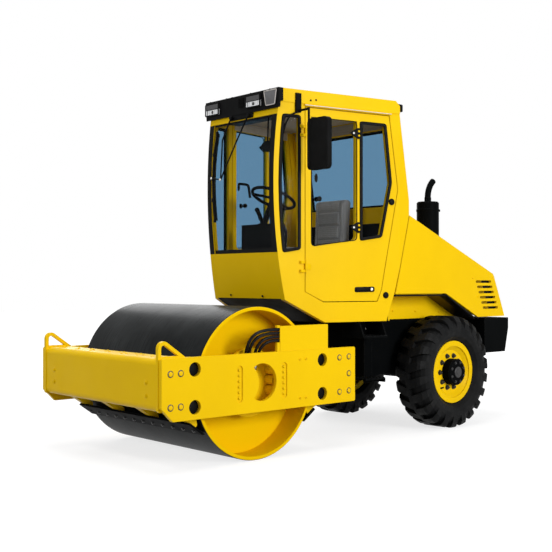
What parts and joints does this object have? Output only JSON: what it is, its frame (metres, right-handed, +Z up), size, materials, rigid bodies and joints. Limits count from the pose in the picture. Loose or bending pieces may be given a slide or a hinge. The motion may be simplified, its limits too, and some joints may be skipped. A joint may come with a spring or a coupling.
{
  "type": "single-drum road roller",
  "caption": "Articulated single-drum road roller: smooth steel drum in a plate frame, glazed cab, tilting engine hood and two lugged drive tyres.",
  "frame": {"origin": "on the ground, under the middle of the machine's length and width", "axes": "+X forward towards the drum, +Y to the driver's left, +Z up"},
  "size_m": [3.935, 1.534, 2.682],
  "materials": {
    "yellow_paint": "gloss yellow paint",
    "black_paint": "satin black paint",
    "drum_steel": "dark rolled steel",
    "tyre": "matt black rubber",
    "glass": "clear tinted glass",
    "black_plastic": "grained black plastic",
    "seat_cover": "grey woven cover",
    "lamp": "clear ribbed lens",
    "engine_iron": "painted casting"
  },
  "bodies": {
    "rear_frame": {"chassis": "black_paint", "rear_axle": "black_paint", "ballast": "black_paint", "engine_block": "engine_iron", "arch_panels": "yellow_paint", "steps": "black_paint", "cab_floor": "black_paint", "cab_front": "yellow_paint", "cab_side_left": "yellow_paint", "cab_side_right": "yellow_paint", "cab_rear": "yellow_paint", "cab_roof": "yellow_paint", "visor": "black_plastic", "roof_lamps": "lamp", "windscreen": "glass", "quarter_windows": "glass", "rear_window": "glass", "seat_base": "black_plastic", "seat": "seat_cover", "console": "black_plastic", "steering_wheel": "black_plastic", "cab_mirror": "black_plastic"},
    "front_frame": {"side_plate_left": "yellow_paint", "side_plate_right": "yellow_paint", "front_crossmember": "yellow_paint", "rear_crossmember": "yellow_paint", "drum_carrier_left": "yellow_paint", "drum_carrier_right": "yellow_paint", "scraper_front": "yellow_paint", "scraper_rear": "yellow_paint", "scraper_blades": "black_paint", "hose_guard": "yellow_paint", "drum_hoses": "black_paint"},
    "drum": {"drum": "drum_steel"},
    "wheel_left": {"tyre_left": "tyre", "rim_left": "yellow_paint", "hub_left": "black_paint"},
    "wheel_right": {"tyre_right": "tyre", "rim_right": "yellow_paint", "hub_right": "black_paint"},
    "door_left": {"door_left": "yellow_paint", "door_glass_left": "glass"},
    "door_right": {"door_right": "yellow_paint", "door_glass_right": "glass"},
    "hood": {"hood": "yellow_paint", "muffler": "black_paint"}
  },
  "joints": [
    {"name": "steer", "type": "hinge", "parent": "rear_frame", "child": "front_frame", "pos_m": [-0.0255, 0, 0.54], "axis": [0, 0, 1], "range_deg": [-35, 35]},
    {"name": "drum_spin", "type": "hinge", "parent": "front_frame", "child": "drum", "pos_m": [1.1245, 0, 0.529], "axis": [0, 1, 0], "continuous": true},
    {"name": "wheel_left_spin", "type": "hinge", "parent": "rear_frame", "child": "wheel_left", "pos_m": [-1.0595, 0.592, 0.47], "axis": [0, 1, 0], "continuous": true},
    {"name": "wheel_right_spin", "type": "hinge", "parent": "rear_frame", "child": "wheel_right", "pos_m": [-1.0595, -0.592, 0.47], "axis": [0, 1, 0], "continuous": true},
    {"name": "door_left_hinge", "type": "hinge", "parent": "rear_frame", "child": "door_left", "pos_m": [0.4265, 0.46879, 1.8], "axis": [0, 0, -1], "range_deg": [0, 80]},
    {"name": "door_right_hinge", "type": "hinge", "parent": "rear_frame", "child": "door_right", "pos_m": [0.4265, -0.46879, 1.8], "axis": [0, 0, 1], "range_deg": [0, 80]},
    {"name": "hood_hinge", "type": "hinge", "parent": "rear_frame", "child": "hood", "pos_m": [-0.5775, 0, 1.78], "axis": [0, 1, 0], "range_deg": [0, 50]}
  ]
}
